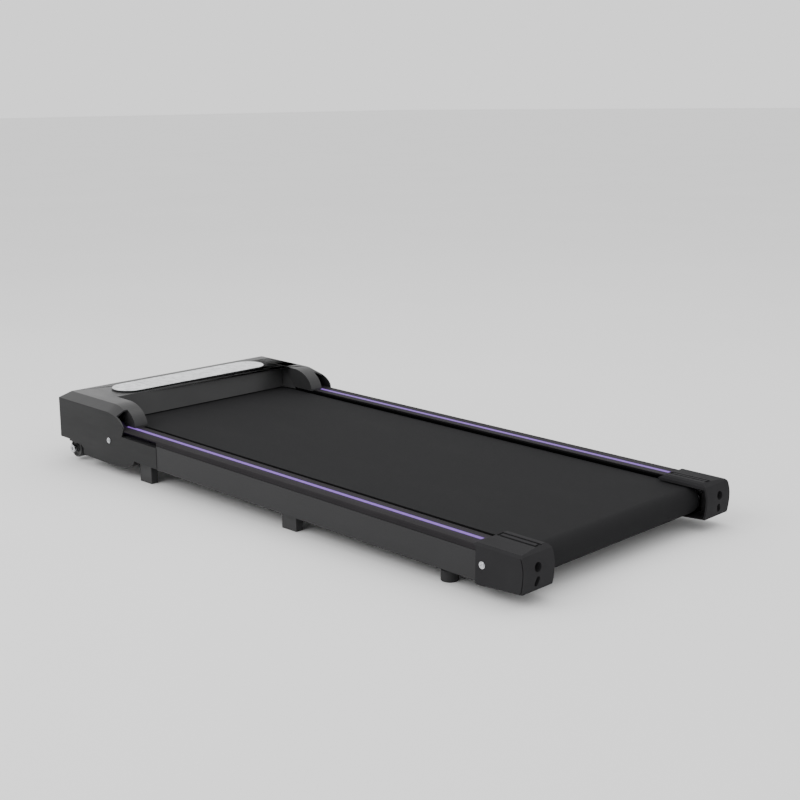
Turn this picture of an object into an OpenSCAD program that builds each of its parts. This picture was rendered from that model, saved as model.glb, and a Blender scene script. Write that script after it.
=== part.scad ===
// Under-desk walking pad: a flat motorised treadmill on six feet and two transport wheels.
// Lengths are in millimetres. The body is drawn level in its own deck frame, with x = 0 at the
// front of the hood, y = 0 on the centre line and z = 0 at the underside of the body. The deck
// frame is then tipped by the incline, so that every foot stands on z = 0 of the part's frame.
// The user walks towards -X, so the left side is at -Y.

/* [Body] */
// Length of the body, from the hood's front to the end caps' lower rear corners
body_len = 1186; // [1100:1:1260]
// Width over the side covers and end caps
body_w = 520; // [500:1:560]
// Slope of the deck: the front stands higher than the rear, in degrees
incline = 1.05; // [0:0.05:1.2]
// Height of the body's underside above the floor at the front
front_lift = 43.5; // [42:0.1:50]

/* [Hood] */
// Length of the hood at the foot of its rear wall
hood_len = 134; // [130:1:145]
// Height of the hood's top
hood_top = 92.3; // [90:0.1:100]
// Width of the sloping edge along each side of the hood
bevel_w = 20; // [16:1:24]
// Drop of that sloping edge
bevel_h = 12; // [8:1:14]
// Wall thickness of the moulded covers
wall = 2.5; // [2:0.1:3]
// How far back each wing of the hood reaches along its foot rail
wing_end = 222; // [215:1:235]
// Width of each wing
wing_w = 55; // [54:1:58]

/* [Deck] */
// Width of each foot rail
rail_w = 46; // [44:1:48]
// Height of the foot rails' top
rail_top = 52.5; // [52:0.1:54]
// Width of the running belt
belt_w = 410; // [380:1:412]
// Height of the running belt's top
belt_top = 47; // [47:0.1:47.5]
// Thickness of the running belt
belt_t = 1.7; // [1.4:0.1:2]
// Radius of both rollers
roller_r = 21; // [20:0.1:21]

/* [Drive] */
// Radius of the large pulley on the front roller
pulley_r = 30; // [28:0.5:31]
// Radius of the small pulley on the motor
motor_pulley_r = 10; // [8:0.5:12]
// Radius of the motor's case
motor_r = 28; // [24:0.5:28]

/* [Display] */
// Length of the display over its round ends
display_len = 366; // [300:1:380]
// Width of the display
display_w = 72; // [60:1:76]

/* [Wheels and feet] */
// Radius of the transport wheels
wheel_r = 18.5; // [16:0.5:19]
// Length of the block feet
foot_len = 36; // [30:1:40]
// Radius of the round rear feet
round_foot_r = 13.5; // [11:0.5:15]

/* [Hidden] */
$fn = 64;
eps = 0.01;
fit = 0.3;                       // gap between faces of different moving bodies
run_gap = 0.05;                  // radial clearance of a running fit

// Deck frame on its feet
bulge = 3.5;                     // the end caps' rear faces swell past body_len
lift = front_lift * cos(incline) - body_len / 2 * sin(incline);
shift_x = -(bulge * cos(incline) + rail_top * 0.6 * sin(incline)) / 2;

// Steel frame
tube_out = 3;                    // outer face of each rail tube, from the body's side
tube_w = 24;
tube_bottom = -1.5;
tube_top = 40.5;
tube_wall = 2;
rail_front = 56;
rail_rear = 1110;
cross_z = 6;                     // underside of the deck's cross members
cross_h = 20;
cross_w = 20;
deck_cross_x = [330, 620, 910];
rear_cross_x = 1080;
front_cross_x = 57;
front_cross_z = -6;
front_cross_h = 12;

// Rollers and belt
belt_r = roller_r + fit + belt_t;
axis_z = belt_top - belt_r;
front_axis_x = 112;
rear_axis_x = 1144;
axle_r = 6;
bearing_r = 14;
bearing_w = 9;
roller_len = belt_w + 10;
roller_wall = 2.5;
belt_side = (body_w - belt_w) / 2;
roller_side = (body_w - roller_len) / 2;

// Deck board
board_side = 28;                 // board's edge from the body's side
board_front = 150;
board_rear = 1108;
board_top = belt_top - belt_t - 0.2;
board_t = 16;
cushion_t = board_top - board_t - cross_z - cross_h;
cushion_r = 11;
cushion_side = 70;
deck_screw_side = 36;

// Drive
pulley_side = 32;                // outer face of both pulleys from the right side
pulley_w = 13;
ribbed_t = 2;
motor_x = 42;
motor_z = 44;
motor_side = 54;
motor_len = 130;
shaft_r = 4;
motor_bore_r = 22;
motor_cap = 18;                  // thickness of the motor case's ends

// Covers
bevel_z = hood_top - bevel_h;
side_t = 2.7;
cover_base = 1.5;
lobe_z = -20.8;
lobe_front = 81;
lobe_rear = 186;
lobe_end = 254;
channel_x = 198;                 // where the light line's channel opens in each wing
channel_w = 27;                  // inner side of that channel
tongue_end = 326;
tongue_top = 40;
wing_start = 165;
wheel_well = 46;                 // width of the wheel wells from each side
floor_z = -10;

// Transport wheels
wheel_x = 33;
wheel_z = -19;
wheel_side = 13;
wheel_w = 22;
wheel_bolt_r = 5;
lip_z = 44;                      // lower edge of the foot rails' outer lip
rail_skin = 0.8;                 // outer face of the rails' side skin
plate_bottom = 4.5;              // underside of the rails' rear plates
plate_end = 58;                  // reach of the rear plates past the tubes

// Light strips
light_side = 26.5;
light_w = 8;
light_front = 200;
light_rear = 1090;

// End caps
cap_w = 66;
cap_front = 1100;
cap_low_front = 1103.4;
cap_low = -5.9;
groove_floor = 55;               // depth of the groove in each end cap's top
bolt_side = 29.7;
bolt_z = axis_z + 11;

// ---------------------------------------------------------------- placing
module deck() translate([shift_x, 0, lift]) rotate([0, incline, 0])
    translate([-body_len / 2, 0, 0]) children();

// y runs inwards from the body's left side; the right side is its mirror image
module left() translate([0, -body_w / 2, 0]) children();
module right() mirror([0, 1, 0]) left() children();
module both() {
    left() children();
    right() children();
}

// An outline drawn as (x, z), made from y = from to y = to
module slab(from, to) translate([0, to, 0]) rotate([90, 0, 0])
    linear_extrude(to - from) children();
// An outline drawn as (y, z), made from x = from to x = to
module bar(from, to) translate([from, 0, 0]) rotate([90, 0, 90])
    linear_extrude(to - from) children();
// A round rod along y from y = from to y = to
module rod(x, z, r, from, to) translate([x, from, z]) rotate([-90, 0, 0])
    cylinder(r = r, h = to - from);
// A round rod along x
module rod_x(y, z, r, from, to) translate([from, y, z]) rotate([0, 90, 0])
    cylinder(r = r, h = to - from);
module box(x0, x1, y0, y1, z0, z1) translate([x0, y0, z0]) cube([x1 - x0, y1 - y0, z1 - z0]);

// Points of an elliptical arc from angle a to angle b
function arc(cx, cz, rx, rz, a, b, steps) =
    [for (i = [0:steps]) let (t = a + (b - a) * i / steps) [cx + rx * cos(t), cz + rz * sin(t)]];

// ---------------------------------------------------------------- frame
module side_rail() color("#2c2d30") difference() {
    union() {
        box(rail_front, rail_rear, tube_out, tube_out + tube_w, tube_bottom, tube_top);
        box(tongue_end + 0.1, cap_front - fit, rail_skin, tube_out + tube_wall, tube_bottom, lip_z - 0.5);
        box(rail_rear - eps, rail_rear + plate_end, tube_out, tube_out + 5, plate_bottom, tube_top);
        box(rail_rear + plate_end - 6, rail_rear + plate_end, tube_out, tube_out + 36, plate_bottom,
            tube_top);
    }
    box(rail_front - 1, rail_rear + eps, tube_out + tube_wall, tube_out + tube_w - tube_wall,
        tube_bottom + tube_wall, tube_top - tube_wall);
    rod(front_axis_x, axis_z, axle_r + run_gap, -1, tube_w + 5);
    slab(0, tube_out + 6) translate([rear_axis_x, axis_z]) axle_slot(axle_r + fit, 8);
    rod_x(bolt_side, bolt_z, 4.3, rail_rear + 40, rail_rear + 70);
    for (x = [hood_screw_x, cap_screw_x]) rod(x, screw_z, 2.2, -1, tube_out + 6);
}
module axle_slot(r, half) union() {
    translate([-half, -r]) square([2 * half, 2 * r]);
    for (s = [-1, 1]) translate([s * half, 0]) circle(r);
}
module cross_member(x, z, h, screwed) color("#2c2d30") difference() {
    box(x, x + cross_w, tube_out + tube_w - body_w / 2, body_w / 2 - tube_out - tube_w, z, z + h);
    box(x + tube_wall, x + cross_w - tube_wall, -body_w, body_w, z + tube_wall, z + h - tube_wall);
    if (screwed) both() translate([x + cross_w / 2, deck_screw_side, z + h - tube_wall - 1])
        cylinder(r = 2.5, h = tube_wall + 2);
}
function screw_rows() = [for (x = deck_cross_x) x + cross_w / 2, rear_cross_x + cross_w / 2];
module deck_board() color("#18181a") difference() {
    box(board_front, board_rear, board_side - body_w / 2, body_w / 2 - board_side,
        board_top - board_t, board_top);
    for (x = screw_rows()) both() translate([x, deck_screw_side, board_top]) {
        translate([0, 0, -board_t - 1]) cylinder(r = 2.7, h = board_t + 2);
        translate([0, 0, -3]) cylinder(r1 = 2.7, r2 = 5.7, h = 3 + eps);
    }
}
module deck_cushions() color("#101010") for (x = screw_rows()) both()
    translate([x, cushion_side, cross_z + cross_h]) cylinder(r = cushion_r, h = cushion_t);
module deck_screws() color("#8a8c90") for (x = screw_rows()) both()
    translate([x, deck_screw_side, board_top]) difference() {
        union() {
            translate([0, 0, -27]) cylinder(r = 2.4, h = 27);
            translate([0, 0, -3]) cylinder(r1 = 2.4, r2 = 5.4, h = 3);
        }
        for (a = [0, 90]) rotate([0, 0, a]) translate([-2.6, -0.6, -1.6]) cube([5.2, 1.2, 2]);
    }

// ---------------------------------------------------------------- belt and rollers
module belt_loop(r) union() {
    translate([front_axis_x, axis_z - r]) square([rear_axis_x - front_axis_x, 2 * r]);
    for (x = [front_axis_x, rear_axis_x]) translate([x, axis_z]) circle(r, $fn = 96);
}
module running_belt() color("#1b1c1e") slab(-belt_w / 2, belt_w / 2) difference() {
    belt_loop(belt_r);
    belt_loop(belt_r - belt_t);
}
// Tube with a plug in each end; the bearings sit in the plugs
module roller(x) color("#9a9ca0") difference() {
    rod(x, axis_z, roller_r, -roller_len / 2, roller_len / 2);
    rod(x, axis_z, roller_r - roller_wall, 20 - roller_len / 2, roller_len / 2 - 20);
    rod(x, axis_z, axle_r + 2, -body_w, body_w);
    for (s = [-1, 1]) translate([0, s * roller_len / 2, 0])
        rod(x, axis_z, bearing_r, -bearing_w - fit, bearing_w + fit);
}
module bearings(x) color("#c0c2c6") for (s = [-1, 1])
    translate([0, s * (roller_len / 2 - bearing_w / 2 - 0.2), 0]) difference() {
        rod(x, axis_z, bearing_r - run_gap, -bearing_w / 2, bearing_w / 2);
        rod(x, axis_z, axle_r + run_gap, -bearing_w, bearing_w);
        for (f = [-1, 1]) translate([0, f * bearing_w / 2, 0]) difference() {
            rod(x, axis_z, bearing_r - 2.5, -0.6, 0.6);
            rod(x, axis_z, axle_r + 2.5, -1, 1);
        }
    }
module axle(x, reach) color("#b4b6ba")
    rod(x, axis_z, axle_r, -body_w / 2 + reach, body_w / 2 - reach);
module axle_blocks() color("#3a3b3e") both() difference() {
    box(rear_axis_x - 10, rear_axis_x + 10, tube_out + 7, roller_side - 2, axis_z - 10, bolt_z + 8);
    rod(rear_axis_x, axis_z, axle_r, 0, 60);
    rod_x(bolt_side, bolt_z, 4, rear_axis_x - 20, rear_axis_x + 20);
}
module tension_bolts() color("#b8babd") both() difference() {
    union() {
        rod_x(bolt_side, bolt_z, 4, rear_axis_x - 14, rail_rear + 60);
        rod_x(bolt_side, bolt_z, 6.4, rail_rear + 58, rail_rear + 66);
    }
    rod_x_hex(bolt_side, bolt_z, 3.4, rail_rear + 61, rail_rear + 70);
}
module rod_x_hex(y, z, r, from, to) translate([from, y, z]) rotate([0, 90, 0])
    cylinder(r = r, h = to - from, $fn = 6);

// ---------------------------------------------------------------- drive
module drive_pulley() color("#26272a") right() difference() {
    union() {
        difference() {
            rod(front_axis_x, axis_z, pulley_r, pulley_side, pulley_side + pulley_w);
            for (i = [0:4]) translate([0, pulley_side + 2.5 + 2 * i, 0]) difference() {
                rod(front_axis_x, axis_z, pulley_r + 1, -0.5, 0.5);
                rod(front_axis_x, axis_z, pulley_r - 0.8, -1, 1);
            }
        }
        rod(front_axis_x, axis_z, bearing_r + 4, pulley_side + pulley_w - eps, roller_side);
    }
    rod(front_axis_x, axis_z, axle_r + 1, 0, 100);
    for (a = [0:60:300]) translate([front_axis_x, 0, axis_z]) rotate([0, a, 0])
        rod(23.5, 0, 4, pulley_side - 1, pulley_side + pulley_w + 1);
}
module motor_case() color("#3c3e42") right() difference() {
    union() {
        rod(motor_x, motor_z, motor_r, motor_side + 14, motor_side + motor_len - 14);
        rod(motor_x, motor_z, motor_r - 2, motor_side, motor_side + motor_len);
    }
    rod(motor_x, motor_z, shaft_r + run_gap, 0, 300);
    rod(motor_x, motor_z, motor_bore_r, motor_side + motor_cap, motor_side + motor_len - motor_cap);
    for (a = [0:45:315]) translate([motor_x, 0, motor_z]) rotate([0, a, 0])
        rod(18, 0, 4, motor_side + motor_len - 8, motor_side + motor_len + 1);
}
// Slotted iron core that turns inside the motor's case
module motor_armature() color("#7c7e82") right() difference() {
    rod(motor_x, motor_z, motor_bore_r - 1.5, motor_side + motor_cap + 4,
        motor_side + motor_len - motor_cap - 4);
    rod(motor_x, motor_z, shaft_r, 0, 300);
    for (a = [0:30:330]) translate([motor_x, motor_side, motor_z]) rotate([0, a, 0])
        translate([motor_bore_r - 6, 0, -0.9]) cube([6, motor_len, 1.8]);
}
module motor_shaft() color("#c8cacd") right()
    rod(motor_x, motor_z, shaft_r, pulley_side, motor_side + motor_len + 20);
module motor_pulley() color("#8d9094") right() difference() {
    union() {
        rod(motor_x, motor_z, motor_pulley_r, pulley_side, pulley_side + pulley_w);
        rod(motor_x, motor_z, shaft_r + 3, pulley_side + pulley_w - eps, motor_side - 3);
    }
    rod(motor_x, motor_z, shaft_r, 0, 100);
    for (i = [0:4]) translate([0, pulley_side + 2.5 + 2 * i, 0]) difference() {
        rod(motor_x, motor_z, motor_pulley_r + 1, -0.5, 0.5);
        rod(motor_x, motor_z, motor_pulley_r - 0.8, -1, 1);
    }
}
module motor_fan() color("#202124") right() {
    fan_y = motor_side + motor_len + 6;
    difference() {
        rod(motor_x, motor_z, 8, fan_y, fan_y + 10);
        rod(motor_x, motor_z, shaft_r, 0, 300);
    }
    for (a = [0:40:320]) translate([motor_x, fan_y, motor_z]) rotate([0, a, 0])
        translate([7, 2, 0]) rotate([30, 0, 0]) cube([17, 1.5, 7]);
}
module motor_bracket() color("#4a4c50") right() difference() {
    union() {
        for (y = [motor_side + 20, motor_side + motor_len - 30])
            box(motor_x - 24, motor_x + 24, y, y + 6, front_cross_z + front_cross_h, motor_z);
        box(motor_x - 24, motor_x + 36, motor_side + 16, motor_side + motor_len - 20,
            front_cross_z + front_cross_h, front_cross_z + front_cross_h + 3);
    }
    rod(motor_x, motor_z, motor_r, 0, 300);
}
// Outline of the ribbed belt, round both pulleys at a height of grow above them
module ribbed_loop(grow) {
    apart = [motor_x - front_axis_x, motor_z - axis_z];
    along = atan2(apart[1], apart[0]);
    tilt = acos((pulley_r - motor_pulley_r) / norm(apart));
    r1 = pulley_r + grow;
    r2 = motor_pulley_r + grow;
    polygon(concat(arc(front_axis_x, axis_z, r1, r1, along + tilt, along - tilt + 360, 48),
        arc(motor_x, motor_z, r2, r2, along - tilt, along + tilt, 32)));
}
module drive_belt() color("#0f0f10") right()
    slab(pulley_side + 1, pulley_side + pulley_w - 1) difference() {
        ribbed_loop(fit + ribbed_t);
        ribbed_loop(fit);
    }

// ---------------------------------------------------------------- electrics
board_left = 62;
module control_board() color("#1d5a37") left() {
    box(8, 80, board_left, board_left + 150, 18, 19.6);
    // posts on the hood's floor in front, and on the cross member behind
    for (y = [board_left + 6, board_left + 144]) {
        translate([14, y, floor_z + wall]) cylinder(r = 3, h = 18 - floor_z - wall);
        translate([67, y, front_cross_z + front_cross_h])
            cylinder(r = 3, h = 18 - front_cross_z - front_cross_h);
    }
    for (y = [board_left + 30, board_left + 58]) translate([28, y, 19.6 - eps])
        cylinder(r = 11, h = 36);
    box(46, 66, board_left + 20, board_left + 44, 19.6 - eps, 42);
    box(44, 60, board_left + 124, board_left + 144, 19.6 - eps, 34);
    for (i = [0:4]) box(12, 24, board_left + 84 + 12 * i, board_left + 92 + 12 * i, 19.6 - eps, 29);
}
module heat_sink() color("#b9bbbe") left() {
    box(34, 40, board_left + 72, board_left + 120, 19.6, 50);
    for (i = [0:7]) box(40 - eps, 62, board_left + 72 + 6.5 * i, board_left + 74.5 + 6.5 * i, 19.6, 50);
}
// Run of wire through a list of points; each length overlaps the next at the bend
module wire(points, r) for (i = [1:len(points) - 1]) {
    a = points[i - 1];
    d = points[i] - a;
    translate(a) rotate([0, acos(d[2] / norm(d)), atan2(d[1], d[0])])
        translate([0, 0, i > 1 ? -r / 2 : 0]) cylinder(r = r, h = norm(d) + (i > 1 ? r / 2 : 0), $fn = 8);
}
harness_z = 60;
inlet_y = 30;
switch_y = -10;
socket_z = 34;
module wiring_harness() color("#141414") {
    // mains leads from the inlet and the switch, the motor's lead, and the display's lead
    wire([[25, inlet_y, 34], [34, 20, harness_z], [34, -60, harness_z],
        [54, -166, harness_z], [54, -166, 45.2]], 3);
    wire([[21, switch_y, 34], [44, -14, harness_z + 4], [44, -58, harness_z + 4], [52, -64, 36.6]], 2.5);
    wire([[70, -62, 23.2], [78, -40, 23.2], [82, -26, 18], [82, 96, 18], [67, 100, 21]], 3);
    wire([[57, -70, 35.6], [64, -70, 78], [70, -60, 82.5]], 1.5);
}
rocker_tilt = 8;                 // angle of the rocker at rest and, the other way, when on
rocker_x = 6;
module power_inlet() color("#121212") difference() {
    union() {
        box(-1.5, 0, inlet_y - 17, inlet_y + 17, socket_z - 13, socket_z + 13);
        box(-eps, 22, inlet_y - 13.5, inlet_y + 13.5, socket_z - 10, socket_z + 10);
    }
    box(-3, 16, inlet_y - 12, inlet_y + 12, socket_z - 8.2, socket_z + 8.2);
}
module power_switch_frame() color("#121212") difference() {
    union() {
        box(-1.5, 0, switch_y - 12, switch_y + 12, socket_z - 9, socket_z + 9);
        box(-eps, 18, switch_y - 10, switch_y + 10, socket_z - 7, socket_z + 7);
    }
    box(-3, 12, switch_y - 8.6, switch_y + 8.6, socket_z - 5.6, socket_z + 5.6);
    translate([rocker_x, switch_y, socket_z - 6.3]) cylinder(r = 1 + run_gap, h = 12.6);
}
module power_switch_rocker() color("#1a1a1a") translate([rocker_x, switch_y, 0])
    rotate([0, 0, rocker_tilt]) difference() {
        union() {
            translate([0, 0, socket_z - 5.2]) linear_extrude(10.4)
                polygon([[3, 3], [3, -3], [-1, -7.3], [-7.2, -7.3], [-5.4, 0], [-7.2, 7.3], [-1, 7.3]]);
            translate([0, 0, socket_z - 6.1]) cylinder(r = 1, h = 12.2);
        }
        translate([-8.4, -5, socket_z - 2.6]) cube([2, 0.8, 5.2]);
    }

// ---------------------------------------------------------------- hood
front_edge = 16;                 // bevel along the top's front edge, and its drop
front_drop = 9;
rear_top = 122;                  // the hood's rear wall leans forward, from hood_len to here
// Side outline of a wing, lowered by drop, with a bevel along its front edge, drawn in by inset
module wing_outline(drop, edge, inset) polygon(concat(
    [[inset, floor_z - 20], [inset, hood_top - drop - edge * front_drop / front_edge - inset],
        [edge + inset, hood_top - drop - inset]],
    arc(wing_start, rail_top, wing_end - wing_start - inset, hood_top - rail_top - drop - inset, 90, 0, 16),
    [[wing_end - inset, floor_z - 20]]));
module wing_form(inset) hull() {
    slab(inset, inset + eps) wing_outline(bevel_h, eps, inset);
    slab(bevel_w, wing_w - inset) wing_outline(0, front_edge, inset);
}
module hood_form(inset) {
    both() wing_form(inset);
    slab(wing_w - body_w / 2 - inset - eps, body_w / 2 - wing_w + inset + eps)
        polygon([[inset, floor_z - 20], [inset, hood_top - front_drop - inset],
            [front_edge + inset, hood_top - inset], [rear_top - inset, hood_top - inset],
            [hood_len - inset, belt_top + 2.5], [hood_len - inset, floor_z - 20]]);
}
module pill(length, width) union() {
    square([width, length - width], center = true);
    for (s = [-1, 1]) translate([0, s * (length - width) / 2]) circle(width / 2, $fn = 96);
}
pill_x = 80;
pill_base = 3;
pill_rim = 6;
// Wall along the inner side of the channel that the light line comes out of
module channel_wall() slab(channel_w, channel_w + wall) intersection() {
    wing_outline(0, front_edge, 0.8);
    translate([channel_x - 12, rail_top + 0.1]) square([60, 60]);
}
// Corner facet between the hood's rear wall and each wing's inner wall
facet_x = 38;
facet_y = 6;
module corner_facet() hull() {
    box(hood_len - eps, hood_len + eps, wing_w - 1, wing_w + eps, belt_top + 2.5, hood_top - 3);
    box(hood_len - eps, hood_len + facet_x, wing_w - 1, wing_w + eps, belt_top + 2.5, belt_top + 2.6);
    box(hood_len - 1, hood_len + eps, wing_w - 1, wing_w + facet_y, belt_top + 2.5, belt_top + 2.6);
}
module hood_shell() {
    difference() {
        hood_form(0);
        hood_form(wall);
        both() box(channel_x, 400, side_t, channel_w, 0, 200);
    }
    both() {
        channel_wall();
        corner_facet();
    }
}
module hood_cover() color("#303134") difference() {
    hood_shell();
    // open underside, above the foot rails and the running belt
    box(-5, hood_len - 8, -body_w, body_w, -60, cover_base);
    box(hood_len - 8 - eps, 400, -body_w, body_w, -60, belt_top + 2.5);
    both() {
        // seats for the side covers and the foot rails
        slab(-1, side_t + 0.1) side_outline(0.1);
        box(hood_len, 400, -1, wing_w + 0.1, -60, rail_top + 0.1);
        box(hood_len - 8, hood_len + eps, tube_out, rail_w + 4, -60, rail_top + 0.1);
    }
    translate([pill_x, 0, hood_top - 10]) linear_extrude(20) pill(display_len - 2 * pill_rim,
        display_w - 2 * pill_rim);
    right() box(tray_x0 - 0.1, tray_x1 + 0.1, tray_side - 0.1, tray_side + tray_w + 0.1, hood_top - 10,
        hood_top + 5);
    box(-5, 10, inlet_y - 13.6, inlet_y + 13.6, socket_z - 10.1, socket_z + 10.1);
    box(-5, 10, switch_y - 10.1, switch_y + 10.1, socket_z - 7.1, socket_z + 7.1);
}
// Side outline of a side cover: the flat panel below the bevel, with its lower lobe and the
// tongue that runs back under the foot rail
module side_outline(grow) polygon(concat(
    [[-1, cover_base - grow], [-1, bevel_z + grow], [wing_start, bevel_z + grow]],
    arc(wing_start, rail_top - grow, wing_end - wing_start + grow, bevel_z - rail_top + 2 * grow,
        90, 0, 16),
    [[wing_end + grow, rail_top - grow]],
    [[wing_end - 6, tongue_top], [tongue_end, tongue_top], [tongue_end, cover_base - 1],
        [lobe_end, cover_base - 1]],
    arc(lobe_rear, cover_base - 1, lobe_end - lobe_rear, lobe_z - cover_base + 1, 0, 90, 12),
    [[lobe_front + 4, lobe_z], [lobe_front, lobe_z + 4], [lobe_front, -8], [lobe_front - 8, -2],
        [31, -2], [31, cover_base - grow]]));
module side_cover() color("#2b2c2f") difference() {
    intersection() {
        slab(0, side_t) side_outline(0);
        box(0, 400, -1, 10, -60, 100);
    }
    rod(hood_screw_x, screw_z, 2.4, -1, 10);
}
module hood_base() color("#1c1d1f") difference() {
    union() {
        // upper floor between the wheel wells, with the well walls and a short front lip
        box(wall, lobe_front, wheel_well - body_w / 2, body_w / 2 - wheel_well, floor_z, floor_z + wall);
        box(wall + 0.3, 2 * wall + 0.3, wheel_well - body_w / 2, body_w / 2 - wheel_well, floor_z, 8);
        both() box(wall, lobe_front, wheel_well, wheel_well + wall, floor_z, 8);
        // lower floor under the front roller, between the side covers
        box(lobe_front, lobe_rear, side_t - body_w / 2 + 0.2, body_w / 2 - side_t - 0.2, lobe_z,
            lobe_z + wall);
        box(lobe_front, lobe_front + wall, side_t - body_w / 2 + 0.2, body_w / 2 - side_t - 0.2,
            lobe_z, floor_z + wall);
        slab(side_t - body_w / 2 + 0.2, body_w / 2 - side_t - 0.2) lobe_ramp();
    }
    both() box(front_cross_x - 0.5, front_cross_x + cross_w + 0.5, 0, wheel_well + 5,
        front_cross_z - 0.5, 20);
}
module lobe_ramp() difference() {
    polygon(concat(arc(lobe_rear, cover_base - 1, lobe_end - lobe_rear, lobe_z - cover_base + 1, 0, 90, 12),
        [[lobe_rear, cover_base - 4]]));
    polygon(concat(arc(lobe_rear, cover_base - 1, lobe_end - lobe_rear - wall,
        lobe_z - cover_base + 1 + wall, 0, 90, 12),
        [[lobe_rear - 1, lobe_z + wall], [lobe_rear - 1, cover_base + 5]]));
    translate([lobe_rear, -2]) square([100, 10]);
}

// ---------------------------------------------------------------- display and remote tray
module display_surround() color("#0c0c0d") translate([pill_x, 0, hood_top]) difference() {
    linear_extrude(pill_base) pill(display_len, display_w);
    translate([0, 0, -1]) linear_extrude(pill_base + 2) pill(display_len - 2 * pill_rim,
        display_w - 2 * pill_rim);
}
module display_lens() color("#d0d2d4") translate([pill_x, 0, hood_top + pill_base]) {
    linear_extrude(1) pill(display_len - 2, display_w - 2);
    translate([0, 0, -1.5]) linear_extrude(1.5 + eps) pill(display_len - 2 * pill_rim - 1,
        display_w - 2 * pill_rim - 1);
}
module display_board() color("#1d5a37") {
    box(pill_x - 28, pill_x + 28, -130, 130, hood_top - 8, hood_top - 6.4);
    for (y = [-84:24:84]) box(pill_x - 9, pill_x + 9, y - 6, y + 6, hood_top - 6.4 - eps, hood_top - 1);
    // posts up to the underside of the lens
    for (x = [-22, 22]) for (y = [-120, 120]) translate([pill_x + x, y, hood_top - 6.4 - eps])
        cylinder(r = 2.5, h = pill_base + 4.9 + eps);
}
tray_x0 = 42;
tray_x1 = 138;
tray_side = 21;
tray_w = 29;
tray_depth = 8;
tray_wall = 1.5;
module remote_tray() color("#0e0e0f") right() difference() {
    box(tray_x0, tray_x1, tray_side, tray_side + tray_w, hood_top - tray_depth, hood_top);
    box(tray_x0 + tray_wall, tray_x1 - tray_wall, tray_side + tray_wall, tray_side + tray_w - tray_wall,
        hood_top - tray_depth + tray_wall, hood_top + 1);
}

// ---------------------------------------------------------------- foot rails and lights
rail_cover_t = 3;
module foot_rail() color("#26272a") difference() {
    union() {
        bar(hood_len + 6, cap_front + 6) polygon([[1, lip_z], [1, rail_top - 2], [2.5, rail_top - 0.3],
            [4, rail_top], [rail_w - 1.5, rail_top], [rail_w, rail_top - 1.5], [rail_w, board_top + 0.5],
            [rail_w - 2, board_top + 0.5], [rail_w - 2, rail_top - rail_cover_t],
            [20, rail_top - rail_cover_t], [20, tube_top + 0.1], [18, tube_top + 0.1],
            [18, rail_top - rail_cover_t], [7, rail_top - rail_cover_t], [7, tube_top + 0.1],
            [5, tube_top + 0.1], [5, rail_top - rail_cover_t], [2.8, rail_top - rail_cover_t - 2],
            [2.8, lip_z]]);
        // carrier below the light strip
        bar(hood_len + 6, cap_front + 6) translate([light_side - 6, board_top + 0.1])
            square([12, rail_top - rail_cover_t - board_top]);
    }
    box(light_front, light_rear, light_side - light_w / 2 - 0.1, light_side + light_w / 2 + 0.1,
        rail_top - 4.5, rail_top + 1);
    // the outer lip starts behind the side cover's tongue, and the wing stands outside it
    box(0, tongue_end, 0, 14, 0, rail_top - 2);
    box(0, wing_end + 0.2, 0, side_t + 0.2, 0, rail_top + 1);
}
// Black strip along the inner side of each foot rail, beside the belt
strip_end = 54;
module edge_strip() color("#060606") bar(hood_len + 6, cap_front + 6)
    polygon([[rail_w + 0.1, board_top + 0.5], [rail_w + 0.1, rail_top - 0.3],
        [strip_end - 1, rail_top - 0.6],
        [strip_end, rail_top - 1.4], [strip_end, board_top + 0.5]]);
module light_diffuser() color("#b48cff") bar(light_front, light_rear)
    translate([light_side - light_w / 2, rail_top - 3]) square([light_w, 3]);
module light_strips() color("#e8e8e8") both()
    box(light_front + 1, light_rear - 1, light_side - light_w / 2 + 0.5, light_side + light_w / 2 - 0.5,
        rail_top - 4.4, rail_top - 3.1);

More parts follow.
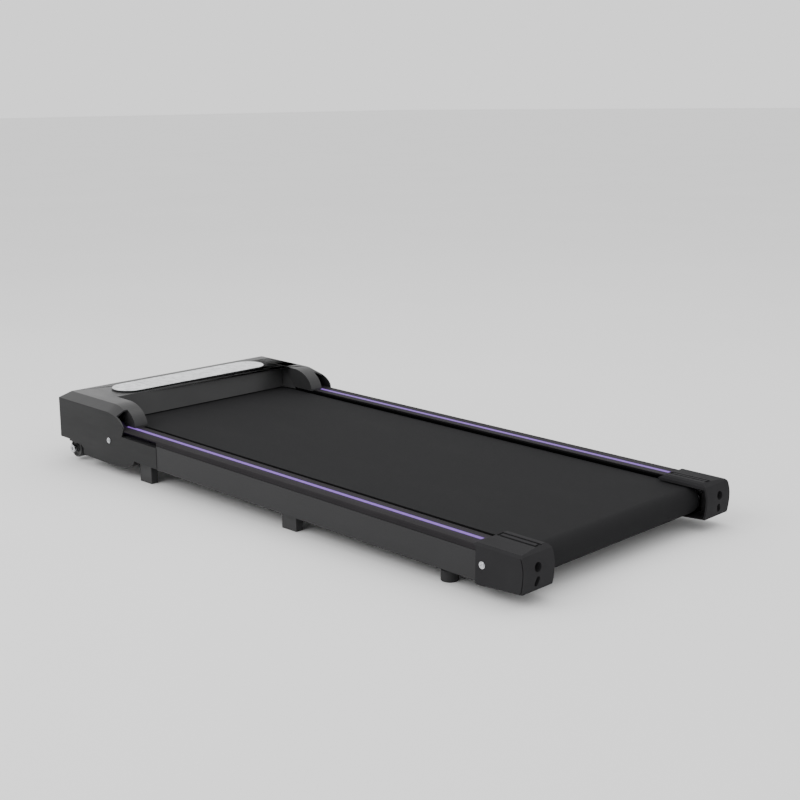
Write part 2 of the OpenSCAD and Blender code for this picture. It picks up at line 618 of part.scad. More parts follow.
// ---------------------------------------------------------------- end caps
// Rear face of an end cap at height z: full at z = 30, drawn in above and below
function rear_face(z) =
    body_len + bulge - (z < 30 ? bulge : 5.5) * pow((z - 30) / (z < 30 ? 30 : 24), 2);
module cap_outline() polygon(concat(
    [[cap_low_front, cap_low], [body_len, 0.3]],
    [for (z = [3:3:54]) [rear_face(z), z]],
    [[body_len - 7, 57.5], [body_len - 16, 64], [cap_front + 13, 64], [cap_front - 6, rail_top + 0.2],
        [cap_front, rail_top - 3], [cap_front, cap_low + 2]]));
module cap_section() polygon([[0, cap_low - 5], [0, 52], [3.5, 56], [54, 60], [60, 60], [cap_w - 2, 58],
    [cap_w, 54], [cap_w, cap_low - 5]]);
module end_cap() color("#29292c") difference() {
    intersection() {
        slab(0, cap_w) cap_outline();
        bar(cap_front - 10, body_len + 10) cap_section();
    }
    // room for the steel rail and its end plate, the foot rail, and the belt with its roller
    box(0, rail_rear + 1, tube_out - fit, tube_out + tube_w + fit, tube_bottom - fit, tube_top + fit);
    box(0, rail_rear + plate_end + 1, tube_out - fit, tube_out + 37, plate_bottom - fit, tube_top + fit);
    box(0, cap_front + 7, 0.7, strip_end + 0.5, tube_bottom - fit, rail_top + 0.1);
    box(0, board_rear + 1, board_side - 0.5, cap_w + 1, board_top - board_t - 1, board_top + 0.5);
    slab(tube_out + 5, cap_w + 1) union() {
        translate([0, axis_z - belt_r - 2.5]) square([rear_axis_x, 2 * belt_r + 5]);
        translate([rear_axis_x, axis_z]) circle(belt_r + 2.5, $fn = 96);
    }
    box(rear_axis_x - 40, rail_rear + 67, tube_out + 5, tube_out + 37, plate_bottom - fit, bolt_z + 9);
    // hollow beside the belt, open on the inner side
    slab(tube_out + 37, cap_w + 1) intersection() {
        translate([-3.5, 0]) cap_outline();
        translate([1000, plate_bottom - 4]) square([300, axis_z + belt_r + 2.5 - plate_bottom + 4]);
    }
    // parting groove between the side and the rear face
    slab(-1, 1.3) intersection() {
        difference() {
            translate([-1.6, 0]) cap_outline();
            translate([-3.2, 0]) cap_outline();
        }
        translate([body_len - 8, 2]) square([12, 50]);
    }
    // bolt access hole, slanted slot, top groove and side screw
    rod_x(bolt_side, bolt_z, 7.2, rail_rear + 50, body_len + 20);
    translate([rail_rear + 50, bolt_side, bolt_z - 21]) rotate([90, 0, 90]) rotate([0, 0, -22])
        linear_extrude(40) rotate([0, 0, 90]) axle_slot(4.2, 3.4);
    difference() {
        translate([0, 0, 59.6]) rotate([atan(4 / 50.5), 0, 0]) translate([cap_front + 5, 38, -6])
            cube([72, 14, 7]);
        translate([0, 0, 59.6]) rotate([atan(4 / 50.5), 0, 0]) translate([cap_front + 9, 42, -8])
            cube([64, 6, 7]);
        box(0, 1200, 0, 60, 0, groove_floor);
    }
    rod(cap_screw_x, screw_z, 2.4, -1, 10);
}

// ---------------------------------------------------------------- wheels, feet and screws
module transport_wheel() color("#161617") difference() {
    rod(wheel_x, wheel_z, wheel_r, wheel_side, wheel_side + wheel_w);
    rod(wheel_x, wheel_z, wheel_bolt_r + run_gap, 0, 60);
    for (y = [wheel_side - 1, wheel_side + wheel_w - 3]) difference() {
        rod(wheel_x, wheel_z, wheel_r - 4, y, y + 4);
        rod(wheel_x, wheel_z, wheel_bolt_r + 3.5, y - 1, y + 5);
    }
}
module wheel_bolts() color("#c9cbce") both() difference() {
    union() {
        rod(wheel_x, wheel_z, wheel_bolt_r, wheel_side - 2, wheel_side + wheel_w + 7);
        rod(wheel_x, wheel_z, 8, wheel_side - 9, wheel_side - 1);
    }
    translate([wheel_x, wheel_side - 10, wheel_z]) rotate([-90, 0, 0])
        cylinder(r = 3.4, h = 4, $fn = 6);
}
module wheel_brackets() color("#3a3b3e") both() difference() {
    slab(wheel_side + wheel_w + 1, wheel_side + wheel_w + 5) polygon([[wheel_x - 10, wheel_z - 9],
        [wheel_x + 10, wheel_z - 9], [front_cross_x, front_cross_z], [front_cross_x, 10],
        [wheel_x + 8, 10], [wheel_x - 10, wheel_z + 8]]);
    rod(wheel_x, wheel_z, wheel_bolt_r, 0, 60);
}
module standing() intersection() {
    deck() children();
    translate([-body_len, -body_w, 0]) cube([2 * body_len, 2 * body_w, 200]);
}
foot_side = 11.5;
foot_w = 15;
round_foot_side = 22;
front_foot_x = 255;
middle_foot_x = 663;
rear_foot_x = 1031;
module block_feet(x) both() {
    box(x, x + foot_len, foot_side, foot_side + foot_w, -front_lift, tube_bottom);
}
module front_feet() color("#3d3e40") block_feet(front_foot_x);
module middle_feet() color("#58595b") block_feet(middle_foot_x);
module rear_feet() color("#141414") both() translate([rear_foot_x, round_foot_side, 0]) {
    translate([0, 0, -front_lift]) cylinder(r = round_foot_r, h = front_lift - 7);
    translate([0, 0, -7 - eps]) cylinder(r = 9, h = 7 + eps + tube_bottom);
}
hood_screw_x = 173;
cap_screw_x = 1113;
screw_z = 25.5;
module cover_screws() color("#d2d4d6") both() for (x = [hood_screw_x, cap_screw_x]) difference() {
    union() {
        rod(x, screw_z, 2, -1, tube_out + 10);
        rod(x, screw_z, 5.5, -1, 0);
        rod(x, screw_z, 4, -2.2, -1 + eps);
    }
    for (a = [0, 90]) translate([x, -2.6, screw_z]) rotate([0, a, 0])
        translate([-2.4, 0, -0.5]) cube([4.8, 1.5, 1]);
}

deck() left() side_rail();  // side_rail_left
deck() right() side_rail();  // side_rail_right
deck() cross_member(front_cross_x, front_cross_z, front_cross_h, false);  // front_cross_member
deck() cross_member(deck_cross_x[0], cross_z, cross_h, true);  // deck_cross_member_1
deck() cross_member(deck_cross_x[1], cross_z, cross_h, true);  // deck_cross_member_2
deck() cross_member(deck_cross_x[2], cross_z, cross_h, true);  // deck_cross_member_3
deck() cross_member(rear_cross_x, cross_z, cross_h, true);  // rear_cross_member
deck() deck_board();
deck() deck_cushions();
deck() deck_screws();
deck() running_belt();
deck() roller(front_axis_x);  // front_roller
deck() axle(front_axis_x, tube_out + 1);  // front_roller_axle
deck() bearings(front_axis_x);  // front_roller_bearings
deck() drive_pulley();
deck() roller(rear_axis_x);  // rear_roller
deck() axle(rear_axis_x, tube_out + 1);  // rear_roller_axle
deck() bearings(rear_axis_x);  // rear_roller_bearings
deck() axle_blocks();
deck() tension_bolts();
deck() motor_case();
deck() motor_armature();
deck() motor_shaft();
deck() motor_pulley();
deck() motor_fan();
deck() motor_bracket();
deck() drive_belt();
deck() control_board();
deck() heat_sink();
deck() wiring_harness();
deck() power_inlet();
deck() power_switch_frame();
deck() power_switch_rocker();
deck() hood_cover();
deck() hood_base();
deck() left() side_cover();  // side_cover_left
deck() right() side_cover();  // side_cover_right
deck() display_surround();
deck() display_lens();
deck() display_board();
deck() remote_tray();
deck() left() foot_rail();  // foot_rail_left
deck() right() foot_rail();  // foot_rail_right
deck() left() light_diffuser();  // light_diffuser_left
deck() right() light_diffuser();  // light_diffuser_right
deck() light_strips();
deck() left() edge_strip();  // edge_strip_left
deck() right() edge_strip();  // edge_strip_right
deck() left() end_cap();  // end_cap_left
deck() right() end_cap();  // end_cap_right
deck() left() transport_wheel();  // transport_wheel_left
deck() right() transport_wheel();  // transport_wheel_right
deck() wheel_bolts();
deck() wheel_brackets();
standing() front_feet();
standing() middle_feet();
standing() rear_feet();
deck() cover_screws();
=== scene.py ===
import bpy, bmesh, math
from mathutils import Matrix, Vector


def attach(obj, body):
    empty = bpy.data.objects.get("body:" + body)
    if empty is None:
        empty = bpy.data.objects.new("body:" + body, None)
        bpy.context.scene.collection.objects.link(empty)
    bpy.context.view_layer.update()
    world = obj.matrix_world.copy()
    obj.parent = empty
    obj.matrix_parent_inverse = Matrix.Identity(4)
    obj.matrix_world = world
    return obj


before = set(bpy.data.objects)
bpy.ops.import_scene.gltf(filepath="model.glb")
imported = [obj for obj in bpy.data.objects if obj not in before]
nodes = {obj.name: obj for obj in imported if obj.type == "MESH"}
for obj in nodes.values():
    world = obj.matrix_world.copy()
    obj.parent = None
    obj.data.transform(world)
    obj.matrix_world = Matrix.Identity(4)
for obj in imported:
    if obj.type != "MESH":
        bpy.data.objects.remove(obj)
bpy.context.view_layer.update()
BASE = "treadmill_base"

# ------------------------------------------------------------------ camera
LENS_MM = 59.83
SENSOR_MM = 36.0
EYE = (1.69207, -1.58318, 0.68718)
BACK = (0.69214, -0.687137, 0.220873)       # from the machine towards the camera
RIGHT = (0.706556, 0.707538, -0.01295)      # the picture's horizontal

cam_data = bpy.data.cameras.new("camera")
cam_data.lens = LENS_MM
cam_data.sensor_width = SENSOR_MM
cam = bpy.data.objects.new("camera", cam_data)
bpy.context.scene.collection.objects.link(cam)
back = Vector(BACK).normalized()
right = Vector(RIGHT).normalized()
up = back.cross(right).normalized()
right = up.cross(back)
cam.matrix_world = Matrix(((right.x, up.x, back.x, EYE[0]), (right.y, up.y, back.y, EYE[1]),
                           (right.z, up.z, back.z, EYE[2]), (0, 0, 0, 1)))
bpy.context.scene.camera = cam

# ------------------------------------------------------------------ deck frame of the machine
# As in the part's source, in metres: x = 0 at the hood's front, z = 0 at the body's underside.
TILT = math.radians(1.05)
MID_X = 1.186 / 2
FRONT_LIFT = 0.0435
BULGE = 0.0035              # the end caps' rear faces swell past the body's length
RAIL_TOP = 0.0525
LIGHT_Y = 0.2335            # middle of each light line, from the centre line
REAR_AXIS_X = 1.144         # rear roller's axis
AXIS_Z = 0.024
BELT_R = 0.023              # outer radius of the belt round the roller

LIFT = FRONT_LIFT * math.cos(TILT) - MID_X * math.sin(TILT)
SHIFT = -(BULGE * math.cos(TILT) + RAIL_TOP * 0.6 * math.sin(TILT)) / 2
DECK = (Matrix.Translation((SHIFT, 0, LIFT)) @ Matrix.Rotation(TILT, 4, "Y")
        @ Matrix.Translation((-MID_X, 0, 0)))


def place(obj, body=BASE):
    """Puts an object drawn in the deck frame into the row frame, to ride on a body."""
    obj.data.transform(DECK)
    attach(obj, body)
    return obj


# ------------------------------------------------------------------ node helpers
class Tree:
    """A material's node tree, with short calls for the nodes used here."""

    def __init__(self, name):
        self.mat = bpy.data.materials.new(name)
        self.mat.use_nodes = True
        self.nt = self.mat.node_tree
        self.nt.nodes.clear()
        out = self.nt.nodes.new("ShaderNodeOutputMaterial")
        self.bsdf = self.nt.nodes.new("ShaderNodeBsdfPrincipled")
        self.nt.links.new(self.bsdf.outputs[0], out.inputs[0])
        coord = self.nt.nodes.new("ShaderNodeTexCoord")
        # object coordinates, turned back into the deck frame so that grain runs along the machine
        tilt = self.nt.nodes.new("ShaderNodeVectorRotate")
        tilt.rotation_type = "Y_AXIS"
        tilt.inputs["Angle"].default_value = -TILT
        self.nt.links.new(coord.outputs["Object"], tilt.inputs["Vector"])
        self.coord = tilt.outputs[0]

    def link(self, value, socket):
        if isinstance(value, (int, float, tuple)):
            socket.default_value = value
        else:
            self.nt.links.new(value, socket)

    def math(self, op, a, b=0.0, clamp=False):
        n = self.nt.nodes.new("ShaderNodeMath")
        n.operation = op
        n.use_clamp = clamp
        self.link(a, n.inputs[0])
        self.link(b, n.inputs[1])
        return n.outputs[0]

    def split(self, v):
        n = self.nt.nodes.new("ShaderNodeSeparateXYZ")
        self.nt.links.new(v, n.inputs[0])
        return n.outputs

    def stretch(self, scale):
        n = self.nt.nodes.new("ShaderNodeMapping")
        n.inputs["Scale"].default_value = scale
        self.nt.links.new(self.coord, n.inputs["Vector"])
        return n.outputs[0]

    def noise(self, scale, detail=3.0, rough=0.55, coord=None):
        n = self.nt.nodes.new("ShaderNodeTexNoise")
        n.inputs["Scale"].default_value = scale
        n.inputs["Detail"].default_value = detail
        n.inputs["Roughness"].default_value = rough
        self.nt.links.new(coord or self.coord, n.inputs["Vector"])
        return n.outputs["Fac"]

    def cells(self, scale, coord=None):
        n = self.nt.nodes.new("ShaderNodeTexVoronoi")
        n.inputs["Scale"].default_value = scale
        self.nt.links.new(coord or self.coord, n.inputs["Vector"])
        return n.outputs["Distance"]

    def span(self, fac, lo, hi, a=0.3, b=0.7):
        n = self.nt.nodes.new("ShaderNodeMapRange")
        n.inputs["From Min"].default_value = a
        n.inputs["From Max"].default_value = b
        n.inputs["To Min"].default_value = lo
        n.inputs["To Max"].default_value = hi
        self.nt.links.new(fac, n.inputs["Value"])
        return n.outputs[0]

    def link_color(self, value, socket):
        self.link((*value, 1.0) if isinstance(value, tuple) else value, socket)

    def blend(self, fac, a, b):
        n = self.nt.nodes.new("ShaderNodeMix")
        n.data_type = "RGBA"
        self.link(fac, n.inputs["Factor"])
        self.link_color(a, n.inputs["A"])
        self.link_color(b, n.inputs["B"])
        return n.outputs["Result"]

    def bump(self, height, strength, distance, below=None):
        n = self.nt.nodes.new("ShaderNodeBump")
        n.inputs["Strength"].default_value = strength
        n.inputs["Distance"].default_value = distance
        self.nt.links.new(height, n.inputs["Height"])
        if below is not None:
            self.nt.links.new(below, n.inputs["Normal"])
        return n.outputs[0]

    def off_light_line(self, y):
        """Distance in y from the middle of the nearer light line."""
        return self.math("ABSOLUTE", self.math("SUBTRACT", self.math("ABSOLUTE", y), LIGHT_Y))

    def emit(self, color, strength):
        self.nt.links.new(color, self.bsdf.inputs["Emission Color"])
        self.bsdf.inputs["Emission Strength"].default_value = strength

    def finish(self, color=None, rough=None, normal=None, **fixed):
        if color is not None:
            self.link_color(color, self.bsdf.inputs["Base Color"])
        if rough is not None:
            self.link(rough, self.bsdf.inputs["Roughness"])
        if normal is not None:
            self.nt.links.new(normal, self.bsdf.inputs["Normal"])
        for key, value in fixed.items():
            self.bsdf.inputs[key.replace("_", " ")].default_value = value
        return self.mat


def tint(color, k):
    return tuple(c * k for c in color)


# ------------------------------------------------------------------ materials
def moulded(name, color, rough, grain=1500.0, grain_depth=0.00006, strength=0.25, specular=0.5, wear=0.25,
            glow=None):
    """Injection-moulded plastic: a fine spark-eroded grain, slight mottling and handling marks.

    glow is painted light: an emission painted on the plastic beside the light line, standing in for the light
    line's glow spilling onto it.
    """
    t = Tree(name)
    if glow:
        # painted light: the plastic beside the light line is made to glow, standing in for the light spilling
        # from it
        off = t.off_light_line(t.split(t.coord)[1])
        t.emit(t.blend(t.span(off, 1.0, 0.0, 0.004, 0.016), (0.0, 0.0, 0.0), glow), 1.0)
    fine = t.noise(grain, 2.0, 0.6)
    pits = t.cells(grain * 0.6)
    height = t.math("ADD", fine, t.math("MULTIPLY", pits, 0.6))
    cloud = t.noise(9.0, 4.0, 0.6)
    smear = t.noise(3.0, 5.0, 0.7, t.stretch((1.0, 3.5, 6.0)))
    tone = t.blend(t.span(cloud, 0.0, 1.0), tint(color, 0.88), tint(color, 1.14))
    scuff = t.span(t.noise(60.0, 6.0, 0.75), 0.0, wear, 0.62, 0.80)
    tone = t.blend(scuff, tone, tint(color, 2.2))
    r = t.math("ADD", t.span(smear, rough - 0.06, rough + 0.07), t.math("MULTIPLY", scuff, 0.35))
    r = t.math("ADD", r, t.span(fine, -0.03, 0.03))
    return t.finish(tone, r, t.bump(height, strength, grain_depth), Specular_IOR_Level=specular)


def powder_coat(name, color, rough=0.42, specular=0.4):
    """Powder-coated steel: a gentle orange peel over a satin sheen."""
    t = Tree(name)
    peel = t.noise(520.0, 2.0, 0.5)
    cloud = t.noise(6.0, 4.0, 0.6)
    rub = t.span(t.noise(35.0, 6.0, 0.75, t.stretch((0.3, 1.0, 1.0))), 0.0, 0.3, 0.62, 0.8)
    tone = t.blend(t.span(cloud, 0.0, 1.0), tint(color, 0.9), tint(color, 1.15))
    tone = t.blend(rub, tone, tint(color, 1.8))
    r = t.math("ADD", t.span(cloud, rough - 0.04, rough + 0.06), t.span(peel, -0.04, 0.04))
    return t.finish(tone, r, t.bump(peel, 0.22, 0.00012), Specular_IOR_Level=specular)


def metal(name, color, rough=0.3, along=(1.0, 60.0, 60.0), depth=0.00003):
    """Turned or drawn metal with fine lines, and a little oxide in places."""
    t = Tree(name)
    lines = t.noise(90.0, 4.0, 0.65, t.stretch(along))
    haze = t.noise(40.0, 4.0, 0.6)
    tone = t.blend(t.span(haze, 0.0, 1.0), tint(color, 0.82), color)
    tone = t.blend(t.span(lines, 0.0, 0.35), tone, tint(color, 0.6))
    r = t.math("ADD", t.span(lines, rough - 0.09, rough + 0.10), t.span(haze, -0.03, 0.05))
    return t.finish(tone, r, t.bump(lines, 0.3, depth), Metallic=1.0)


def rubber(name, color, rough=0.75, grain=900.0):
    t = Tree(name)
    fine = t.noise(grain, 3.0, 0.6)
    bloom = t.noise(45.0, 4.0, 0.6)
    tone = t.blend(t.span(bloom, 0.0, 0.8), color, tint(color, 1.7))
    r = t.math("ADD", t.span(bloom, rough - 0.06, rough + 0.1), t.span(fine, -0.04, 0.04))
    return t.finish(tone, r, t.bump(fine, 0.35, 0.00015), Specular_IOR_Level=0.35)


def belt_material():
    """Walking belt: a fine diamond emboss that follows the belt round the rear roller."""
    t = Tree("belt_weave")
    diamond_pitch = 0.0030
    x, y, z = t.split(t.coord)
    x_end = REAR_AXIS_X - MID_X
    z_end = AXIS_Z + LIFT
    off_axis = t.math("ABSOLUTE", t.math("SUBTRACT", z, z_end))
    turn = t.math("ARCTAN2", t.math("SUBTRACT", x, x_end), off_axis)
    past = t.math("GREATER_THAN", x, x_end)
    arc = t.math("MULTIPLY", past, t.math("MULTIPLY", turn, BELT_R))
    run = t.math("ADD", t.math("MINIMUM", x, x_end), arc)
    k = 2 * math.pi / diamond_pitch
    a = t.math("SINE", t.math("MULTIPLY", t.math("ADD", run, y), k))
    b = t.math("SINE", t.math("MULTIPLY", t.math("SUBTRACT", run, y), k))
    diamond = t.math("MULTIPLY", a, b)
    fine = t.noise(1600.0, 2.0, 0.6)
    height = t.math("ADD", t.math("MULTIPLY", diamond, 0.5), t.math("MULTIPLY", fine, 0.5))
    cloud = t.noise(5.0, 4.0, 0.6)
    dust = t.span(t.noise(14.0, 6.0, 0.7, t.stretch((0.35, 1.0, 1.0))), 0.0, 0.35, 0.5, 0.8)
    tone = t.blend(t.span(cloud, 0.0, 1.0), (0.0112, 0.0112, 0.0119), (0.0148, 0.0148, 0.0156))
    tone = t.blend(dust, tone, (0.019, 0.019, 0.0195))
    # painted shade: the sunken diamonds of the emboss are darkened, as if shaded in their hollows
    tone = t.blend(t.span(diamond, 0.0, 0.35, -0.2, -1.0), tone, (0.0060, 0.0060, 0.0066))
    r = t.math("ADD", t.span(cloud, 0.80, 0.88), t.span(fine, -0.04, 0.04))
    return t.finish(tone, r, t.bump(height, 0.45, 0.00022), Specular_IOR_Level=0.10)


def lens_material():
    """Silver display lens: a printed metallic layer with a faint mottle behind a clear coat."""
    t = Tree("display_lens_silver")
    flake = t.noise(900.0, 2.0, 0.5)
    cloud = t.noise(28.0, 5.0, 0.65)
    lines = t.noise(60.0, 3.0, 0.6, t.stretch((14.0, 1.0, 1.0)))
    spots = t.noise(85.0, 4.0, 0.75, t.stretch((0.7, 1.0, 1.0)))
    tone = t.blend(t.span(cloud, 0.0, 1.0, 0.35, 0.65), (0.62, 0.63, 0.65), (0.84, 0.85, 0.87))
    tone = t.blend(t.span(lines, 0.0, 0.35), tone, (0.95, 0.95, 0.97))
    tone = t.blend(t.span(spots, 0.0, 0.7, 0.46, 0.60), tone, (0.36, 0.37, 0.39))
    tone = t.blend(t.span(flake, 0.0, 0.25, 0.45, 0.7), tone, (0.55, 0.56, 0.58))
    return t.finish(tone, t.span(cloud, 0.26, 0.36), t.bump(flake, 0.12, 0.00003),
                    Metallic=0.15, Coat_Weight=0.25, Coat_Roughness=0.2)


def light_material():
    """Milky light line: purple, a little brighter at each lamp's place, and dimmer towards its sides."""
    t = Tree("light_line_purple")
    lamp_pitch = 0.0166
    fade = 200.0                # per metre from the middle of the line
    x, y = t.split(t.coord)[:2]
    beads = t.math("SINE", t.math("MULTIPLY", x, 2 * math.pi / lamp_pitch))
    side = t.math("SUBTRACT", 1.0, t.math("MULTIPLY", t.off_light_line(y), fade))
    milk = t.noise(350.0, 3.0, 0.6)
    level = t.math("ADD", t.math("MULTIPLY", beads, 0.06), t.span(milk, -0.06, 0.06))
    level = t.math("ADD", level, t.span(side, 0.35, 1.0, 0.15, 0.75))
    glow = t.blend(t.span(level, 0.0, 1.0, 0.3, 1.1), (0.13, 0.040, 0.36), (0.36, 0.19, 0.64))
    t.emit(glow, 0.85)
    tone = t.blend(t.span(milk, 0.0, 1.0), (0.045, 0.022, 0.12), (0.065, 0.035, 0.16))
    return t.finish(tone, t.span(milk, 0.45, 0.55), t.bump(milk, 0.15, 0.00005), Specular_IOR_Level=0.08)


def circuit_material(name, color):
    """Circuit board: solder mask with traces under it."""
    t = Tree(name)
    y = t.split(t.coord)[1]
    wander = t.noise(40.0, 1.0, 0.4)
    phase = t.math("ADD", t.math("MULTIPLY", y, 2600.0), t.math("MULTIPLY", wander, 18.0))
    trace = t.math("SINE", phase)
    cloud = t.noise(30.0, 3.0, 0.5)
    tone = t.blend(t.span(trace, 0.0, 0.7, 0.2, 0.9), color, tint(color, 1.9))
    tone = t.blend(t.span(cloud, 0.0, 0.3), tone, tint(color, 0.6))
    return t.finish(tone, t.span(cloud, 0.28, 0.42), t.bump(trace, 0.15, 0.00005))


def board_material():
    """Deck board: a smooth phenolic film with a faint fibre figure."""
    t = Tree("deck_board_film")
    fibre = t.noise(40.0, 5.0, 0.7, t.stretch((1.0, 18.0, 18.0)))
    fine = t.noise(800.0, 2.0, 0.5)
    tone = t.blend(t.span(fibre, 0.0, 1.0), (0.006, 0.006, 0.006), (0.011, 0.010, 0.010))
    return t.finish(tone, t.span(fibre, 0.55, 0.7), t.bump(fine, 0.25, 0.00006), Specular_IOR_Level=0.3)


def floor_material():
    """Pale studio floor, with a very faint cloud in its grey."""
    t = Tree("floor_pale")
    cloud = t.noise(1.2, 3.0, 0.5)
    tone = t.blend(t.span(cloud, 0.0, 1.0), (0.83, 0.83, 0.83), (0.85, 0.85, 0.85))
    return t.finish(tone, t.span(cloud, 0.75, 0.85), Specular_IOR_Level=0.1)


M = {
    "hood": moulded("hood_plastic", (0.0260, 0.0261, 0.0268), 0.34, 1300.0, 0.00008, 0.16, 0.30),
    "side": moulded("side_panel_plastic", (0.0125, 0.0126, 0.0130), 0.54, 1300.0, 0.00008, 0.22, 0.20),
    "cap": moulded("end_cap_plastic", (0.0215, 0.0212, 0.0224), 0.66, 1200.0, 0.00009, 0.25, 0.05),
    # the foot rail's glow beside the light line is painted light
    "rail_top": moulded("foot_rail_plastic", (0.0165, 0.0150, 0.0165), 0.66, 1100.0, 0.0001, 0.3, 0.08,
                        glow=(0.010, 0.006, 0.018)),
    # black trim, made near-black and almost unreflecting to paint the shade in the gap between the belt and
    # the foot rail
    "edge": moulded("edge_strip_black_painted_shade", (0.0014, 0.0014, 0.0015), 0.85, 1100.0, 0.0001, 0.3, 0.01, 0.1),
    "floor_pan": moulded("floor_pan_plastic", (0.0080, 0.0080, 0.0085), 0.60, 900.0, 0.0001, 0.3, 0.2),
    "gloss": moulded("gloss_black_plastic", (0.0080, 0.0080, 0.0085), 0.20, 700.0, 0.00002, 0.1, 0.5, 0.1),
    "tray": moulded("tray_black_plastic", (0.0050, 0.0050, 0.0055), 0.42, 900.0, 0.00004, 0.2, 0.3, 0.1),
    "wheel": moulded("wheel_black_plastic", (0.0110, 0.0110, 0.0115), 0.46, 900.0, 0.0001, 0.3),
    "foot_grey": moulded("foot_grey_plastic", (0.0170, 0.0170, 0.0177), 0.66, 900.0, 0.0001, 0.3),
    "frame": powder_coat("frame_powder_coat", (0.0205, 0.0203, 0.0212), 0.48, 0.20),
    "bracket": powder_coat("bracket_powder_coat", (0.0180, 0.0180, 0.0190), 0.5),
    "motor": powder_coat("motor_enamel", (0.0450, 0.0460, 0.0500), 0.35),
    "steel": metal("turned_steel", (0.56, 0.57, 0.58), 0.30, (60.0, 1.0, 60.0)),
    "screw": metal("plated_screw", (0.62, 0.63, 0.65), 0.22, (1.0, 30.0, 1.0), 0.00002),
    "pulley": metal("machined_iron", (0.30, 0.30, 0.31), 0.38, (1.0, 60.0, 1.0)),
    "aluminium": metal("extruded_aluminium", (0.72, 0.73, 0.75), 0.34, (40.0, 40.0, 1.0)),
    "brass": metal("brass_pin", (0.70, 0.52, 0.24), 0.28, (1.0, 30.0, 30.0)),
    "rubber": rubber("foot_rubber", (0.0120, 0.0120, 0.0125)),
    "wire": rubber("wire_sleeve", (0.0120, 0.0120, 0.0125), 0.55, 500.0),
    "belt": belt_material(),
    "lens": lens_material(),
    "light": light_material(),
    "circuit": circuit_material("circuit_board_green", (0.012, 0.075, 0.030)),
    "strip": circuit_material("light_strip_white", (0.62, 0.62, 0.60)),
    "board": board_material(),
}

FINISH = {
    "hood_cover": "hood", "side_cover_left": "side", "side_cover_right": "side", "hood_base": "floor_pan",
    "display_surround": "gloss", "display_lens": "lens", "display_board": "circuit", "remote_tray": "tray",
    "side_rail_left": "frame", "side_rail_right": "frame", "front_cross_member": "frame",
    "deck_cross_member_1": "frame", "deck_cross_member_2": "frame", "deck_cross_member_3": "frame",
    "rear_cross_member": "frame", "deck_board": "board", "deck_cushions": "rubber", "deck_screws": "steel",
    "running_belt": "belt", "front_roller": "steel", "front_roller_axle": "steel",
    "front_roller_bearings": "steel", "drive_pulley": "pulley", "rear_roller": "steel",
    "rear_roller_axle": "steel", "rear_roller_bearings": "steel", "axle_blocks": "bracket",
    "tension_bolts": "screw", "motor_case": "motor", "motor_armature": "pulley", "edge_strip_left": "edge",
    "edge_strip_right": "edge", "motor_shaft": "steel", "motor_pulley": "pulley",
    "motor_fan": "wheel", "motor_bracket": "bracket", "drive_belt": "wire", "control_board": "circuit",
    "heat_sink": "aluminium", "wiring_harness": "wire", "power_inlet": "gloss", "power_switch_frame": "gloss",
    "power_switch_rocker": "gloss", "foot_rail_left": "rail_top", "foot_rail_right": "rail_top",
    "light_diffuser_left": "light", "light_diffuser_right": "light", "light_strips": "strip",
    "end_cap_left": "cap", "end_cap_right": "cap", "transport_wheel_left": "wheel",
    "transport_wheel_right": "wheel", "wheel_bolts": "screw", "wheel_brackets": "bracket",
    "front_feet": "foot_grey", "middle_feet": "foot_grey", "rear_feet": "rubber", "cover_screws": "screw",
}

# edge rounding of each visible node, in metres
ROUND = {
    "hood_cover": 0.0016, "side_cover_left": 0.0003, "side_cover_right": 0.0003, "end_cap_left": 0.0012,
    "end_cap_right": 0.0012, "side_rail_left": 0.0008, "side_rail_right": 0.0008, "hood_base": 0.0008,
    "foot_rail_left": 0.0004, "foot_rail_right": 0.0004, "front_feet": 0.0010, "middle_feet": 0.0010,
    "rear_feet": 0.0010, "transport_wheel_left": 0.0012, "transport_wheel_right": 0.0012,
    "display_surround": 0.0004, "display_lens": 0.0005, "remote_tray": 0.0004, "cover_screws": 0.0001,
    "wheel_bolts": 0.0004, "tension_bolts": 0.0003, "power_inlet": 0.0004, "power_switch_frame": 0.0004,
    "power_switch_rocker": 0.0004,
}

WELD_GAP = 0.00001
FLAT_ANGLE = math.radians(0.6)      # faces that meet at less than this are one flat face
EDGE_ANGLE = math.radians(18)       # under the hood's slopes, which meet its top at about 30 degrees


def round_edges(obj, width):
    """Joins the CAD mesh's triangles into flat faces, then rounds the edges between them."""
    weld = obj.modifiers.new("weld", "WELD")
    weld.merge_threshold = WELD_GAP
    flat = obj.modifiers.new("flat", "DECIMATE")
    flat.decimate_type = "DISSOLVE"
    flat.angle_limit = FLAT_ANGLE
    bevel = obj.modifiers.new("edge", "BEVEL")
    bevel.width = width
    bevel.segments = 3
    bevel.limit_method = "ANGLE"
    bevel.angle_limit = EDGE_ANGLE
    bevel.miter_outer = "MITER_ARC"
    bevel.harden_normals = False
    weighted = obj.modifiers.new("normals", "WEIGHTED_NORMAL")
    weighted.keep_sharp = True


for name, obj in nodes.items():
    obj.data.materials.clear()
    obj.data.materials.append(M[FINISH[name]])
    for poly in obj.data.polygons:
        poly.material_index = 0
    if name in ROUND:
        round_edges(obj, ROUND[name])


# ------------------------------------------------------------------ added pieces
def new_mesh(name, build, material, body=BASE):
    bm = bmesh.new()
    build(bm)
    bmesh.ops.recalc_face_normals(bm, faces=bm.faces)
    mesh = bpy.data.meshes.new(name)
    bm.to_mesh(mesh)
    bm.free()
    mesh.materials.append(material)
    obj = bpy.data.objects.new(name, mesh)
    bpy.context.scene.collection.objects.link(obj)
    place(obj, body)
    return obj


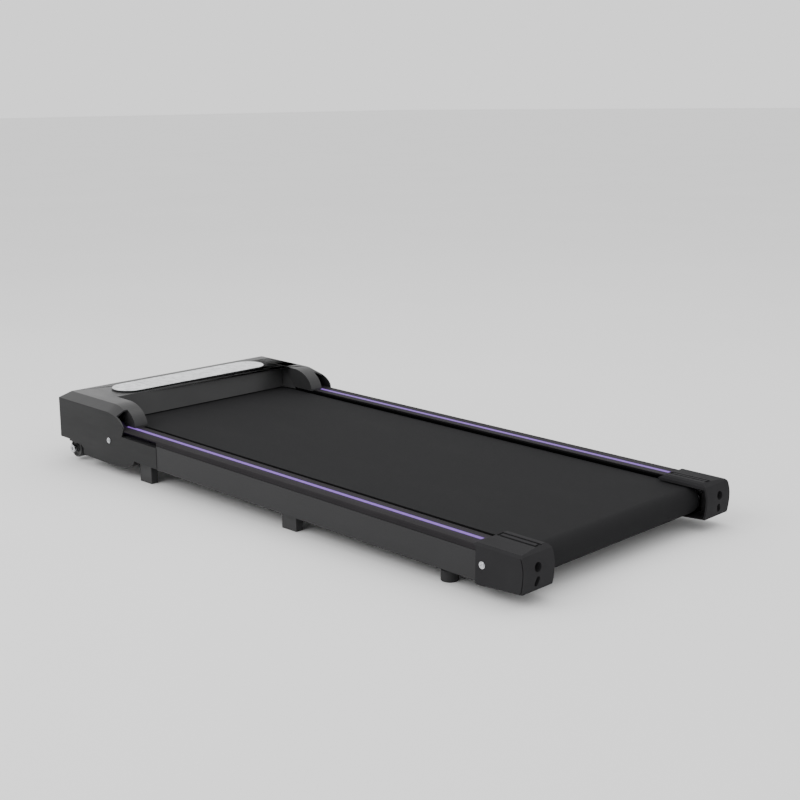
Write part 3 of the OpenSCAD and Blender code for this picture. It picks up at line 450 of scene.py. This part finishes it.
def add_block(bm, lo, hi, bevel=0.0):
    """A block between two corners, with its edges bevelled."""
    geom = bmesh.ops.create_cube(bm, size=1.0)
    verts = geom["verts"]
    size = [h - l for l, h in zip(lo, hi)]
    mid = [(h + l) / 2 for l, h in zip(lo, hi)]
    bmesh.ops.scale(bm, vec=size, verts=verts)
    bmesh.ops.translate(bm, vec=mid, verts=verts)
    if bevel:
        edges = list({e for v in verts for e in v.link_edges})
        bmesh.ops.bevel(bm, geom=edges, offset=bevel, segments=2, profile=0.5, affect="EDGES")


def inlet_pins(bm):
    """The three flat pins in the mains inlet: one above, and two side by side below."""
    tip, root = 0.0030, 0.0165
    half_w, half_h = 0.0010, 0.0025
    for y, z in ((0.030, 0.0375), (0.023, 0.0320), (0.037, 0.0320)):
        add_block(bm, (tip, y - half_w, z - half_h), (root, y + half_w, z + half_h), 0.0004)


new_mesh("inlet_pins", inlet_pins, M["brass"])

# ------------------------------------------------------------------ floor and light
FLOOR_SIZE = 60.0
WORLD_STRENGTH = 1.30

floor_mesh = bpy.data.meshes.new("floor")
bm = bmesh.new()
bmesh.ops.create_grid(bm, x_segments=8, y_segments=8, size=FLOOR_SIZE)
bm.to_mesh(floor_mesh)
bm.free()
floor = bpy.data.objects.new("floor", floor_mesh)
bpy.context.scene.collection.objects.link(floor)
floor_mesh.materials.append(floor_material())

world = bpy.data.worlds.new("studio")
world.use_nodes = True
background = world.node_tree.nodes["Background"]
background.inputs["Color"].default_value = (1.0, 1.0, 1.0, 1.0)
background.inputs["Strength"].default_value = WORLD_STRENGTH
bpy.context.scene.world = world


def softbox(name, at, to, size, power):
    """A rectangular lamp at one place, turned to face another."""
    light = bpy.data.lights.new(name, "AREA")
    light.shape = "RECTANGLE"
    light.size, light.size_y = size
    light.energy = power
    obj = bpy.data.objects.new(name, light)
    bpy.context.scene.collection.objects.link(obj)
    turn = (Vector(to) - Vector(at)).to_track_quat("-Z", "Y").to_matrix().to_4x4()
    obj.matrix_world = Matrix.Translation(at) @ turn


softbox("key", (-0.6, -2.6, 2.2), (0, 0, 0), (2.6, 1.6), 46.0)
softbox("top", (0.2, 0.6, 3.2), (0, 0, 0), (3.0, 2.0), 30.0)
